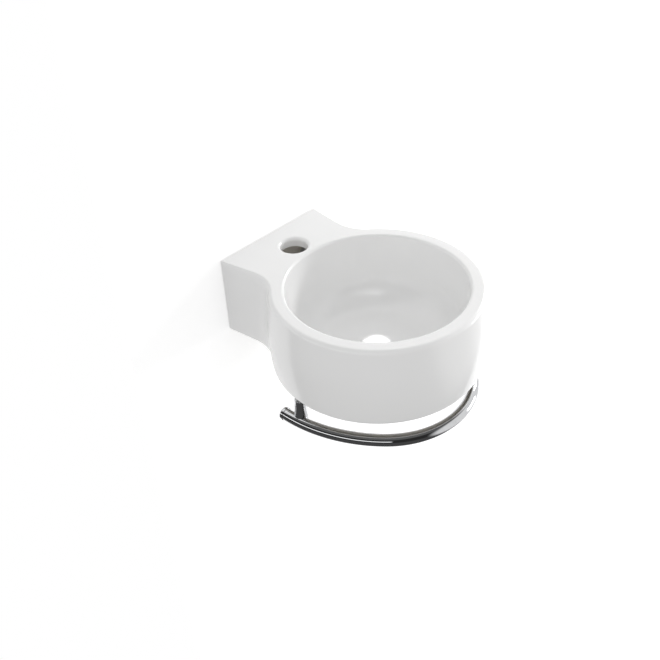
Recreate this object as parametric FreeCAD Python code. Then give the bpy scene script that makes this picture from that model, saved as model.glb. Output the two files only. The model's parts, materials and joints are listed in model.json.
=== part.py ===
"""Small wall hung basin with a bent towel rail under its bowl.

Millimetres, +Z up.  The origin is on the wall plane, midway between the
two wall fixings.  +Y points into the wall and the bowl stands out
towards -Y.  The rim, the ledge top and the base plane are horizontal.
"""

import FreeCAD, Part
import math
import os

from FreeCAD import Vector

# ---- driving dimensions of the ceramic basin -----------------------------
RIM_ABOVE_FIXINGS = 45.0
BODY_HEIGHT = 107.5
BOWL_AXIS_FROM_WALL = 187.0
RIM_RADIUS = 131.2
WALL_BULGE = 5.2
WALL_BULGE_DEPTH = 60.0
WALL_BASE_GROWTH = 2.2
RIM_ROUNDING = 5.0
RIM_INSET_AT_WALL = 1.0
LEDGE_ROUNDING = 14.0
LEDGE_INSET_AT_NECK = 6.0
BASE_ROUNDING = 5.5
BASE_INSET_AT_WALL = 0.8
BASE_INSET_AT_NECK = 1.2
LEDGE_HALF_WIDTH = 86.4
LEDGE_TAPER_DEG = 5.9
NECK_FROM_WALL = 72.0
NECK_FILLET_AT_RIM = 50.0
NECK_FILLET_AT_BASE = 75.0
WALL_TRIM = 4.0

# ---- the bowl's inside ----------------------------------------------------
BOWL_RADIUS = 112.5
BOWL_EDGE_ROUNDING = 4.0
BOWL_WALL_DRAFT_DEG = 6.4
BOWL_DEPTH_AT_WASTE = 97.0
BOWL_FLOOR_SLOPE_DEG = 4.0
BOWL_BOTTOM_ROUNDING = 48.0
WASTE_HOLE_RADIUS = 23.0
WASTE_EDGE_ROUNDING = 4.0

# ---- tap ledge, wall plate and the hollow underside -----------------------
TAP_HOLE_RADIUS = 17.5
TAP_HOLE_FROM_WALL = 47.0
TAP_EDGE_ROUNDING = 4.5
LEDGE_THICKNESS = 12.5
BACK_THICKNESS = 14.0
SHELL_THICKNESS = 10.0
SHELL_BEHIND_TAP = 7.0
SKIRT_THICKNESS = 10.0
POCKET_TOP_DEPTH = 52.0
POCKET_FLOOR_RADIUS = 76.0

# ---- wall fixing set ------------------------------------------------------
FIXING_SPACING = 100.0
WALL_STUD_RADIUS = 4.0
WALL_STUD_THREAD_RADIUS = 3.6
WALL_STUD_STEP_BEHIND_FACE = 1.0
WALL_STUD_IN_WALL = 60.0
WALL_STUD_POINT = 8.0
WALL_STUD_PAST_NUT = 6.0
SLEEVE_RADIUS = 7.0
SLEEVE_FLANGE_RADIUS = 11.0
SLEEVE_FLANGE_THICKNESS = 3.0
SLEEVE_SETBACK = 0.5
WASHER_RADIUS = 12.0
WASHER_THICKNESS = 1.6
NUT_ACROSS_FLATS = 13.0
NUT_HEIGHT = 6.5

# ---- towel rail -----------------------------------------------------------
RAIL_DROP = 35.9
RAIL_RADIUS = 8.0
RAIL_WALL = 1.2
RAIL_FRONT_ARC_RADIUS = 112.2
RAIL_FRONT_ARC_BEHIND_AXIS = -13.4
RAIL_FRONT_HALF_ANGLE_DEG = 49.9
RAIL_SIDE_ARC_RADIUS = 191.4
CAP_RADIUS = 8.6
CAP_COLLAR = 4.0
CAP_DOME = 4.5
CAP_ROUNDING = 2.0
CAP_SPIGOT = 9.0

# ---- rail posts and their fixings -----------------------------------------
POST_BEFORE_RAIL_END = 19.8
POST_INSIDE_RAIL = 5.5
POST_SEAT_RADIUS = 5.2
POST_NECK_RADIUS = 7.4
POST_FOOT_RADIUS = 8.9
POST_FOOT_BELOW_RAIL_AXIS = 3.0
GASKET_THICKNESS = 1.0
POST_STUD_RADIUS = 2.0
POST_STUD_IN_POST = 12.0
POST_STUD_IN_PLUG = 18.0
PLUG_RADIUS = 3.8
PLUG_LENGTH = 20.0
BOSS_RADIUS = 11.0
BOSS_CROWN = 8.0
SEAT_PAD_RADIUS = 6.0

# ---- clearances -----------------------------------------------------------
SLIDE_GAP = 0.3
JOINT_GAP = 0.25
SOCKET_END_GAP = 2.0

# ---- levels and centres that follow ---------------------------------------
RIM_Z = RIM_ABOVE_FIXINGS
BASE_Z = RIM_Z - BODY_HEIGHT
AXIS_Y = -BOWL_AXIS_FROM_WALL
RAIL_Z = BASE_Z - RAIL_DROP
RAIL_ARC_STEP = RAIL_SIDE_ARC_RADIUS - RAIL_FRONT_ARC_RADIUS
RAIL_TURN = math.radians(RAIL_FRONT_HALF_ANGLE_DEG)
RAIL_SIDE_CENTRE_X = -RAIL_ARC_STEP * math.sin(RAIL_TURN)
RAIL_FRONT_CENTRE_Y = AXIS_Y + RAIL_FRONT_ARC_BEHIND_AXIS
RAIL_END_Y = RAIL_FRONT_CENTRE_Y + RAIL_ARC_STEP * math.cos(RAIL_TURN)
RAIL_END_X = RAIL_SIDE_CENTRE_X + RAIL_SIDE_ARC_RADIUS
POST_Y = RAIL_END_Y - POST_BEFORE_RAIL_END
RAIL_X_AT_POST = RAIL_SIDE_CENTRE_X + math.sqrt(
    RAIL_SIDE_ARC_RADIUS ** 2 - POST_BEFORE_RAIL_END ** 2
)
POST_X = RAIL_X_AT_POST - POST_INSIDE_RAIL
SOCKET_RADIUS = PLUG_RADIUS + SLIDE_GAP
SLEEVE_HOLE_RADIUS = SLEEVE_RADIUS + SLIDE_GAP
SLEEVE_BORE_RADIUS = WALL_STUD_THREAD_RADIUS + SLIDE_GAP
POST_BORE_RADIUS = POST_STUD_RADIUS + SLIDE_GAP

UP = Vector(0, 0, 1)
INTO_WALL = Vector(0, 1, 0)
SIDES = (("left", -1), ("right", 1))


def save(shape, node):
    """Write one shape as the file of its node."""
    shape.exportStep("parts/" + node + ".step")


def revolved(edges, centre):
    """Turn a closed profile drawn in the XZ plane once about a vertical axis."""
    face = Part.Face(Part.Wire(edges))
    face.translate(centre)
    return face.revolve(centre, UP, 360)


def chain(points):
    """Return straight edges through points, closed back to the first."""
    edges = []
    for first, second in zip(points, points[1:] + points[:1]):
        edges.append(Part.makeLine(first, second))
    return edges


def spun(profile, base, axis):
    """Turn (radius, height) corners into a solid that stands on base along axis."""
    points = [Vector(radius, 0, height) for radius, height in profile]
    solid = revolved(chain(points), Vector(0, 0, 0))
    turn = FreeCAD.Rotation(UP, axis)
    solid.Placement = FreeCAD.Placement(base, turn)
    return solid


def arc(first, middle, last):
    """Return one circular edge through three points."""
    return Part.Arc(first, middle, last).toShape()


def mirrored_x(point):
    """Return the point on the other side of the middle plane."""
    return Vector(-point.x, point.y, point.z)


# ---- outside of the ceramic ------------------------------------------------
def wall_radius(depth):
    """Return the drum's outer radius at a depth below the rim."""
    share = depth / WALL_BULGE_DEPTH
    if share <= 1.0:
        return RIM_RADIUS + WALL_BULGE * math.sin(0.5 * math.pi * share)
    below = (depth - WALL_BULGE_DEPTH) / (BODY_HEIGHT - WALL_BULGE_DEPTH)
    lost = WALL_BULGE - WALL_BASE_GROWTH
    return RIM_RADIUS + WALL_BULGE - lost * below * below


def ledge_side(inset_at_wall, inset_at_neck, height):
    """Return start and direction of the ledge's right side at one height.

    The side starts a little behind the wall plane, where it is trimmed.
    """
    taper = math.radians(LEDGE_TAPER_DEG)
    outward = Vector(math.cos(taper), -math.sin(taper), 0)
    along = Vector(-math.sin(taper), -math.cos(taper), 0)
    corner = Vector(LEDGE_HALF_WIDTH - inset_at_wall, 0, height)
    turned = along * NECK_FROM_WALL - outward * (inset_at_neck - inset_at_wall)
    turned.normalize()
    return corner - turned * WALL_TRIM, turned


def outline(depth, insets):
    """Return the closed plan outline of drum, neck fillets and ledge.

    The three insets draw the outline in at the wall, at the neck and
    on the drum, which rounds the edges above and below.
    """
    at_wall, at_neck, at_drum = insets
    height = RIM_Z - depth
    radius = wall_radius(depth) - at_drum
    growth = (NECK_FILLET_AT_BASE - NECK_FILLET_AT_RIM) * depth / BODY_HEIGHT
    blend = NECK_FILLET_AT_RIM + growth + 0.5 * (at_neck + at_drum)
    centre = Vector(0, AXIS_Y, height)
    corner, along = ledge_side(at_wall, at_neck, height)
    outward = Vector(-along.y, along.x, 0)
    start = corner + outward * blend - centre
    reach = radius + blend
    half = start.dot(along)
    rest = start.dot(start) - reach * reach
    travel = -half - math.sqrt(half * half - rest)
    fillet_centre = centre + start + along * travel
    on_side = fillet_centre - outward * blend
    to_fillet = (fillet_centre - centre).normalize()
    on_drum = centre + to_fillet * radius
    chord = (on_side + on_drum) * 0.5 - fillet_centre
    fillet_middle = fillet_centre + chord.normalize() * blend
    drum_angle = math.atan2(to_fillet.y, to_fillet.x)
    quarter = []
    for turn in (0.75, 0.5, 0.25):
        angle = -0.5 * math.pi + (drum_angle + 0.5 * math.pi) * turn
        step = Vector(math.cos(angle), math.sin(angle), 0)
        quarter.append(centre + step * radius)
    front = centre + Vector(0, -radius, 0)
    right = [
        Part.makeLine(corner, on_side),
        arc(on_side, fillet_middle, on_drum),
        arc(on_drum, quarter[0], quarter[1]),
        arc(quarter[1], quarter[2], front),
    ]
    left = [
        arc(front, mirrored_x(quarter[2]), mirrored_x(quarter[1])),
        arc(mirrored_x(quarter[1]), mirrored_x(quarter[0]), mirrored_x(on_drum)),
        arc(mirrored_x(on_drum), mirrored_x(fillet_middle), mirrored_x(on_side)),
        Part.makeLine(mirrored_x(on_side), mirrored_x(corner)),
    ]
    back = [Part.makeLine(mirrored_x(corner), corner)]
    return Part.Wire(right + left + back)


def rounded(distance, rounding):
    """Return the share of a rounded edge's inset left at a distance from its face."""
    left = max(0.0, 1.0 - distance / rounding)
    return 1.0 - math.sqrt(1.0 - left * left)


def edge_distances(rounding):
    """Return distances from a face that follow a quarter turn of its edge."""
    steps = 5
    turns = [0.5 * math.pi * step / steps for step in range(steps + 1)]
    return [rounding * (1.0 - math.cos(turn)) for turn in turns]


def rim_outline(depth):
    """Return the outline at a depth in the rim, whose ledge edge is rounder."""
    share = rounded(depth, RIM_ROUNDING)
    at_wall = RIM_INSET_AT_WALL * share
    at_neck = LEDGE_INSET_AT_NECK * rounded(depth, LEDGE_ROUNDING)
    return outline(depth, (at_wall, at_neck, RIM_ROUNDING * share))


def base_outline(height):
    """Return the outline at a height over the base."""
    share = rounded(height, BASE_ROUNDING)
    insets = (BASE_INSET_AT_WALL, BASE_INSET_AT_NECK, BASE_ROUNDING)
    return outline(BODY_HEIGHT - height, [inset * share for inset in insets])


def basin_outside():
    """Return the solid outer form with its rim and base rounded."""
    top = [rim_outline(depth) for depth in edge_distances(RIM_ROUNDING)]
    foot = [base_outline(height) for height in edge_distances(BASE_ROUNDING)]
    below = []
    steps = 4
    for step in range(steps + 1):
        below.append(rim_outline(RIM_ROUNDING + (LEDGE_ROUNDING - RIM_ROUNDING) * step / steps))
    first = LEDGE_ROUNDING
    last = BODY_HEIGHT - BASE_ROUNDING
    steps = 8
    middle = [below[-1]]
    for step in range(1, steps):
        depth = first + (last - first) * step / steps
        middle.append(outline(depth, (0.0, 0.0, 0.0)))
    middle.append(foot[-1])
    bands = [Part.makeLoft(wires, True, False) for wires in (top, below, middle, foot)]
    body = bands[0].fuse(bands[1:]).removeSplitter()
    width = 2 * LEDGE_HALF_WIDTH + 4 * WALL_TRIM
    corner = Vector(-0.5 * width, 0, BASE_Z - WALL_TRIM)
    behind = Part.makeBox(width, 2 * WALL_TRIM, BODY_HEIGHT + 2 * WALL_TRIM, corner)
    return body.cut(behind)


# ---- inside of the bowl ------------------------------------------------------
def bowl_lines():
    """Return the bowl's profile corners as (radius, depth) pairs.

    They are the tangent points and the centre of the big rounding
    between the steep wall and the sloping floor.
    """
    draft = math.tan(math.radians(BOWL_WALL_DRAFT_DEG))
    slope = math.tan(math.radians(BOWL_FLOOR_SLOPE_DEG))
    span = BOWL_RADIUS - WASTE_HOLE_RADIUS
    depth = (BOWL_DEPTH_AT_WASTE - slope * span) / (1.0 - slope * draft)
    radius = BOWL_RADIUS - draft * depth
    bend = 90.0 - BOWL_WALL_DRAFT_DEG - BOWL_FLOOR_SLOPE_DEG
    tangent = BOWL_BOTTOM_ROUNDING * math.tan(math.radians(bend) * 0.5)
    draft_angle = math.radians(BOWL_WALL_DRAFT_DEG)
    slope_angle = math.radians(BOWL_FLOOR_SLOPE_DEG)
    wall_point = (
        radius + tangent * math.sin(draft_angle),
        depth - tangent * math.cos(draft_angle),
    )
    floor_point = (
        radius - tangent * math.cos(slope_angle),
        depth + tangent * math.sin(slope_angle),
    )
    centre = (
        wall_point[0] - BOWL_BOTTOM_ROUNDING * math.cos(draft_angle),
        wall_point[1] - BOWL_BOTTOM_ROUNDING * math.sin(draft_angle),
    )
    return wall_point, floor_point, centre


def at(radius, depth):
    """Return the profile point at a radius and a depth below the rim."""
    return Vector(radius, 0, RIM_Z - depth)


def bowl_inside():
    """Return the cutting solid of the bowl with its rounded mouth and waste."""
    wall_point, floor_point, centre = bowl_lines()
    draft = math.tan(math.radians(BOWL_WALL_DRAFT_DEG))
    slope = math.tan(math.radians(BOWL_FLOOR_SLOPE_DEG))
    mouth = BOWL_EDGE_ROUNDING
    lip = WASTE_EDGE_ROUNDING
    corner = math.sqrt(0.5)
    above = 1.0
    wall_start = BOWL_RADIUS - draft * mouth
    middle_angle = math.radians(0.5 * (90.0 + BOWL_FLOOR_SLOPE_DEG - BOWL_WALL_DRAFT_DEG))
    bottom_middle = at(
        centre[0] + BOWL_BOTTOM_ROUNDING * math.cos(middle_angle),
        centre[1] + BOWL_BOTTOM_ROUNDING * math.sin(middle_angle),
    )
    lip_radius = WASTE_HOLE_RADIUS + lip
    lip_depth = BOWL_DEPTH_AT_WASTE - slope * lip
    through = BODY_HEIGHT + above
    edges = [
        Part.makeLine(at(0, -above), at(wall_start + mouth, -above)),
        Part.makeLine(at(wall_start + mouth, -above), at(wall_start + mouth, 0)),
        arc(
            at(wall_start + mouth, 0),
            at(wall_start + mouth * (1 - corner), mouth * (1 - corner)),
            at(wall_start, mouth),
        ),
        Part.makeLine(at(wall_start, mouth), at(*wall_point)),
        arc(at(*wall_point), bottom_middle, at(*floor_point)),
        Part.makeLine(at(*floor_point), at(lip_radius, lip_depth)),
        arc(
            at(lip_radius, lip_depth),
            at(lip_radius - lip * corner, lip_depth + lip * (1 - corner)),
            at(WASTE_HOLE_RADIUS, lip_depth + lip),
        ),
        Part.makeLine(at(WASTE_HOLE_RADIUS, lip_depth + lip), at(WASTE_HOLE_RADIUS, through)),
        Part.makeLine(at(WASTE_HOLE_RADIUS, through), at(0, through)),
        Part.makeLine(at(0, through), at(0, -above)),
    ]
    return revolved(edges, Vector(0, AXIS_Y, 0))


# ---- hollow underside ---------------------------------------------------------
def ring_pocket():
    """Return the ring shaped hollow between the bowl's shell and its skirt."""
    wall_point, floor_point, centre = bowl_lines()
    outer = RIM_RADIUS + WALL_BASE_GROWTH - SKIRT_THICKNESS
    radius = BOWL_BOTTOM_ROUNDING + SHELL_THICKNESS
    draft = math.radians(BOWL_WALL_DRAFT_DEG)
    across = POCKET_FLOOR_RADIUS - centre[0]
    low_depth = centre[1] + math.sqrt(radius * radius - across * across)
    high = (
        centre[0] + radius * math.cos(draft),
        centre[1] + radius * math.sin(draft),
    )
    middle_angle = 0.5 * (math.atan2(low_depth - centre[1], across) + draft)
    middle = at(
        centre[0] + radius * math.cos(middle_angle),
        centre[1] + radius * math.sin(middle_angle),
    )
    top = min(POCKET_TOP_DEPTH, high[1] - 1.0)
    top_radius = high[0] + math.tan(draft) * (high[1] - top)
    below = BODY_HEIGHT + 1.0
    edges = [
        Part.makeLine(at(POCKET_FLOOR_RADIUS, below), at(POCKET_FLOOR_RADIUS, low_depth)),
        arc(at(POCKET_FLOOR_RADIUS, low_depth), middle, at(*high)),
        Part.makeLine(at(*high), at(top_radius, top)),
        Part.makeLine(at(top_radius, top), at(outer, top)),
        Part.makeLine(at(outer, top), at(outer, below)),
        Part.makeLine(at(outer, below), at(POCKET_FLOOR_RADIUS, below)),
    ]
    return revolved(edges, Vector(0, AXIS_Y, 0))


def ledge_pocket():
    """Return the hollow under the tap ledge, open below."""
    taper = math.tan(math.radians(LEDGE_TAPER_DEG))
    front = AXIS_Y * 0.5
    back_half = LEDGE_HALF_WIDTH - SKIRT_THICKNESS - taper * BACK_THICKNESS
    front_half = LEDGE_HALF_WIDTH - SKIRT_THICKNESS + taper * front
    low = BASE_Z - 1.0
    points = [
        Vector(-back_half, -BACK_THICKNESS, low),
        Vector(back_half, -BACK_THICKNESS, low),
        Vector(front_half, front, low),
        Vector(-front_half, front, low),
    ]
    height = RIM_Z - LEDGE_THICKNESS - low
    block = Part.Face(Part.makePolygon(points + points[:1])).extrude(Vector(0, 0, height))
    keep_radius = BOWL_RADIUS + SHELL_BEHIND_TAP
    keep = Part.makeCylinder(keep_radius, 2 * BODY_HEIGHT, Vector(0, AXIS_Y, low - 1), UP)
    return block.cut(keep)


def post_bosses():
    """Return the columns that stay solid around the two post sockets."""
    height = PLUG_LENGTH + SOCKET_END_GAP + BOSS_CROWN
    columns = []
    for name, side in SIDES:
        foot = Vector(side * POST_X, POST_Y, BASE_Z - 2.0)
        columns.append(Part.makeCylinder(BOSS_RADIUS, height + 2.0, foot, UP))
    return columns


def seat_pads():
    """Return the flat pads on the rounded base edge that the posts bear on."""
    height = BASE_ROUNDING + 2.0
    pads = []
    for name, side in SIDES:
        foot = Vector(side * POST_X, POST_Y, BASE_Z)
        pads.append(Part.makeCylinder(SEAT_PAD_RADIUS, height, foot, UP))
    return pads


def basin():
    """Return the ceramic basin with every hole cut."""
    underside = ring_pocket().fuse(ledge_pocket())
    for column in post_bosses():
        underside = underside.cut(column)
    body = basin_outside().fuse(seat_pads())
    body = body.cut(bowl_inside())
    body = body.cut(underside)
    body = body.cut(tap_hole())
    for name, side in SIDES:
        body = body.cut(fixing_hole(side))
        body = body.cut(post_socket(side))
    return body


def tap_hole():
    """Return the cutting solid of the tap hole with its rounded edge."""
    lip = TAP_EDGE_ROUNDING
    corner = math.sqrt(0.5)
    mouth = TAP_HOLE_RADIUS + lip
    through = LEDGE_THICKNESS + 1.0
    edges = [
        Part.makeLine(at(0, -1), at(mouth, -1)),
        Part.makeLine(at(mouth, -1), at(mouth, 0)),
        arc(
            at(mouth, 0),
            at(mouth - lip * corner, lip * (1 - corner)),
            at(TAP_HOLE_RADIUS, lip),
        ),
        Part.makeLine(at(TAP_HOLE_RADIUS, lip), at(TAP_HOLE_RADIUS, through)),
        Part.makeLine(at(TAP_HOLE_RADIUS, through), at(0, through)),
        Part.makeLine(at(0, through), at(0, -1)),
    ]
    return revolved(edges, Vector(0, -TAP_HOLE_FROM_WALL, 0))


def fixing_hole(side):
    """Return the cutting cylinder of one wall fixing hole."""
    start = Vector(side * FIXING_SPACING / 2, -BACK_THICKNESS - 1.0, 0)
    return Part.makeCylinder(SLEEVE_HOLE_RADIUS, BACK_THICKNESS + 2.0, start, INTO_WALL)


def post_socket(side):
    """Return the cutting cylinder of one blind post socket."""
    start = Vector(side * POST_X, POST_Y, BASE_Z - 1.0)
    return Part.makeCylinder(SOCKET_RADIUS, PLUG_LENGTH + SOCKET_END_GAP + 1.0, start, UP)


# ---- towel rail ---------------------------------------------------------------
def rail_bar(outer, inner):
    """Return the bent bar as a tube, or as a full bar where inner is zero."""
    front_centre = Vector(0, RAIL_FRONT_CENTRE_Y, RAIL_Z)
    side_centre = Vector(RAIL_SIDE_CENTRE_X, RAIL_END_Y, RAIL_Z)
    outward = Vector(math.sin(RAIL_TURN), -math.cos(RAIL_TURN), 0)
    joint = front_centre + outward * RAIL_FRONT_ARC_RADIUS
    side_turn = 90.0 - RAIL_FRONT_HALF_ANGLE_DEG
    section = rail_section(joint, outward, outer, inner)
    front = section.revolve(front_centre, UP, -2 * RAIL_FRONT_HALF_ANGLE_DEG)
    right = section.revolve(side_centre, UP, side_turn)
    left = right.mirror(Vector(0, 0, 0), Vector(1, 0, 0))
    return front.fuse([right, left]).removeSplitter()


def rail_section(centre, outward, outer, inner):
    """Return the round or ring shaped face across the bar at one point."""
    along = Vector(-outward.y, outward.x, 0)
    disc = Part.Face(Part.Wire(Part.makeCircle(outer, centre, along)))
    if inner <= 0:
        return disc
    return disc.cut(Part.Face(Part.Wire(Part.makeCircle(inner, centre, along))))


def rail_cap(side):
    """Return one domed end cap with the spigot that fills the tube."""
    bore = RAIL_RADIUS - RAIL_WALL - SLIDE_GAP
    sphere = (CAP_RADIUS * CAP_RADIUS + CAP_DOME * CAP_DOME) / (2.0 * CAP_DOME)
    half = 0.5 * math.asin(CAP_RADIUS / sphere)
    drop = sphere * (1.0 - math.cos(half))
    crown = Vector(0, 0, CAP_COLLAR + CAP_DOME)
    shoulder = Vector(sphere * math.sin(half), 0, crown.z - drop)
    points = [
        crown,
        Vector(0, 0, -CAP_SPIGOT),
        Vector(bore, 0, -CAP_SPIGOT),
        Vector(bore, 0, 0),
        Vector(CAP_RADIUS, 0, 0),
        Vector(CAP_RADIUS, 0, CAP_COLLAR),
    ]
    edges = []
    for first, second in zip(points, points[1:]):
        edges.append(Part.makeLine(first, second))
    edges.append(arc(points[-1], shoulder, crown))
    cap = revolved(edges, Vector(0, 0, 0))
    rim = []
    for edge in cap.Edges:
        box = edge.BoundBox
        if abs(box.ZMin - CAP_COLLAR) < 0.01 and abs(box.ZMax - CAP_COLLAR) < 0.01:
            rim.append(edge)
    cap = cap.makeFillet(CAP_ROUNDING, rim)
    turn = FreeCAD.Rotation(UP, INTO_WALL)
    end = Vector(side * RAIL_END_X, RAIL_END_Y, RAIL_Z)
    cap.Placement = FreeCAD.Placement(end, turn)
    return cap


# ---- rail posts -----------------------------------------------------------------
def post_top_z():
    """Return the height of the post's seat under its gasket."""
    return BASE_Z - GASKET_THICKNESS


def rail_post(side):
    """Return one turned post, saddled on the bar and bored for its stud."""
    top = post_top_z()
    low = RAIL_Z - POST_FOOT_BELOW_RAIL_AXIS
    length = top - low
    flare_end = RAIL_Z + RAIL_RADIUS - low
    flare_start = flare_end + 0.6 * (length - flare_end)
    shoulder = length - 3.0
    points = [
        Vector(0, 0, 0),
        Vector(POST_FOOT_RADIUS - 3.0, 0, 0),
        Vector(POST_FOOT_RADIUS, 0, 3.0),
        Vector(POST_FOOT_RADIUS, 0, flare_end),
        Vector(POST_NECK_RADIUS, 0, flare_start),
        Vector(POST_NECK_RADIUS, 0, shoulder),
        Vector(POST_SEAT_RADIUS, 0, length - 1.0),
        Vector(POST_SEAT_RADIUS, 0, length),
        Vector(0, 0, length),
    ]
    corner = math.sqrt(0.5)
    round_middle = Vector(POST_FOOT_RADIUS - 3.0 + 3.0 * corner, 0, 3.0 - 3.0 * corner)
    drop = POST_NECK_RADIUS - POST_SEAT_RADIUS
    neck_middle = Vector(
        POST_SEAT_RADIUS + drop * corner, 0, length - 3.0 + 2.0 * corner
    )
    grow = POST_FOOT_RADIUS - POST_NECK_RADIUS
    flare_middle = Vector(
        POST_NECK_RADIUS + 0.3 * grow, 0, flare_end + 0.5 * (flare_start - flare_end)
    )
    edges = [
        Part.makeLine(points[0], points[1]),
        arc(points[1], round_middle, points[2]),
        Part.makeLine(points[2], points[3]),
        arc(points[3], flare_middle, points[4]),
        Part.makeLine(points[4], points[5]),
        arc(points[5], neck_middle, points[6]),
        Part.makeLine(points[6], points[7]),
        Part.makeLine(points[7], points[8]),
        Part.makeLine(points[8], points[0]),
    ]
    body = revolved(edges, Vector(0, 0, 0))
    body.translate(Vector(side * POST_X, POST_Y, low))
    bore_depth = POST_STUD_IN_POST + SOCKET_END_GAP
    mouth = Vector(side * POST_X, POST_Y, top - bore_depth)
    bore = Part.makeCylinder(POST_BORE_RADIUS, bore_depth + 1.0, mouth, UP)
    saddle = rail_bar(RAIL_RADIUS + JOINT_GAP, 0)
    return body.cut(bore).cut(saddle)


def post_stud(side):
    """Return one threaded rod between a post and its plug."""
    foot = Vector(side * POST_X, POST_Y, post_top_z() - POST_STUD_IN_POST)
    length = POST_STUD_IN_POST + GASKET_THICKNESS + POST_STUD_IN_PLUG
    return Part.makeCylinder(POST_STUD_RADIUS, length, foot, UP)


def post_gasket(side):
    """Return one soft ring between a post and the ceramic."""
    foot = Vector(side * POST_X, POST_Y, post_top_z())
    ring = Part.makeCylinder(POST_SEAT_RADIUS, GASKET_THICKNESS, foot, UP)
    hole = Part.makeCylinder(POST_BORE_RADIUS, GASKET_THICKNESS, foot, UP)
    return ring.cut(hole)


def socket_plug(side):
    """Return one plug that holds the stud in the ceramic socket."""
    foot = Vector(side * POST_X, POST_Y, BASE_Z)
    plug = Part.makeCylinder(PLUG_RADIUS, PLUG_LENGTH, foot, UP)
    hole = Part.makeCylinder(POST_BORE_RADIUS, PLUG_LENGTH, foot, UP)
    return plug.cut(hole)


# ---- wall fixing set ---------------------------------------------------------------
def wall_stud(side):
    """Return one hanger bolt, thicker in the wall and pointed at that end."""
    stack = SLEEVE_FLANGE_THICKNESS + WASHER_THICKNESS + NUT_HEIGHT
    front = BACK_THICKNESS + stack + WALL_STUD_PAST_NUT
    length = front + WALL_STUD_IN_WALL
    chamfer = 1.0
    step = front + WALL_STUD_STEP_BEHIND_FACE
    profile = [
        (0, 0),
        (WALL_STUD_THREAD_RADIUS - chamfer, 0),
        (WALL_STUD_THREAD_RADIUS, chamfer),
        (WALL_STUD_THREAD_RADIUS, step),
        (WALL_STUD_RADIUS, step),
        (WALL_STUD_RADIUS, length - WALL_STUD_POINT),
        (chamfer, length),
        (0, length),
    ]
    return spun(profile, Vector(side * FIXING_SPACING / 2, -front, 0), INTO_WALL)


def wall_sleeve(side):
    """Return one flanged sleeve that centres the bolt in its hole."""
    flange = SLEEVE_FLANGE_THICKNESS
    front = flange + BACK_THICKNESS
    length = front - SLEEVE_SETBACK
    profile = [
        (SLEEVE_BORE_RADIUS, 0),
        (SLEEVE_FLANGE_RADIUS, 0),
        (SLEEVE_FLANGE_RADIUS, flange),
        (SLEEVE_RADIUS, flange),
        (SLEEVE_RADIUS, length),
        (SLEEVE_BORE_RADIUS, length),
    ]
    return spun(profile, Vector(side * FIXING_SPACING / 2, -front, 0), INTO_WALL)


def wall_washer(side):
    """Return one flat washer on the sleeve's flange."""
    back = BACK_THICKNESS + SLEEVE_FLANGE_THICKNESS + WASHER_THICKNESS
    start = Vector(side * FIXING_SPACING / 2, -back, 0)
    disc = Part.makeCylinder(WASHER_RADIUS, WASHER_THICKNESS, start, INTO_WALL)
    hole = Part.makeCylinder(SLEEVE_BORE_RADIUS, WASHER_THICKNESS, start, INTO_WALL)
    return disc.cut(hole)


def wall_nut(side):
    """Return one six sided nut on the washer."""
    back = BACK_THICKNESS + SLEEVE_FLANGE_THICKNESS + WASHER_THICKNESS + NUT_HEIGHT
    start = Vector(side * FIXING_SPACING / 2, -back, 0)
    reach = NUT_ACROSS_FLATS / math.sqrt(3.0)
    points = []
    for step in range(6):
        angle = math.radians(60 * step)
        offset = Vector(reach * math.cos(angle), 0, reach * math.sin(angle))
        points.append(start + offset)
    hexagon = Part.Face(Part.makePolygon(points + points[:1]))
    nut = hexagon.extrude(Vector(0, NUT_HEIGHT, 0))
    hole = Part.makeCylinder(SLEEVE_BORE_RADIUS, NUT_HEIGHT, start, INTO_WALL)
    return nut.cut(hole)


def main():
    """Build every node and write its file."""
    os.makedirs("parts", exist_ok=True)
    save(basin(), "basin")
    save(rail_bar(RAIL_RADIUS, RAIL_RADIUS - RAIL_WALL), "towel_rail")
    for name, side in SIDES:
        save(rail_cap(side), "rail_end_cap_" + name)
        save(rail_post(side), "rail_post_" + name)
        save(post_gasket(side), "post_gasket_" + name)
        save(post_stud(side), "post_stud_" + name)
        save(socket_plug(side), "post_socket_plug_" + name)
        save(wall_stud(side), "wall_stud_" + name)
        save(wall_sleeve(side), "wall_sleeve_" + name)
        save(wall_washer(side), "wall_washer_" + name)
        save(wall_nut(side), "wall_nut_" + name)


main()
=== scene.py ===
"""Looks of a small wall hung basin with a curved towel rail under its bowl.

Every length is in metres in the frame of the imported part: the origin is on
the wall plane between the two wall fixings, +Y runs into the wall and +Z up.
"""

import json
import logging
import math
from dataclasses import dataclass
from enum import Enum
from typing import Any, Sequence

import bmesh
import bpy
from mathutils import Matrix, Vector

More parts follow.
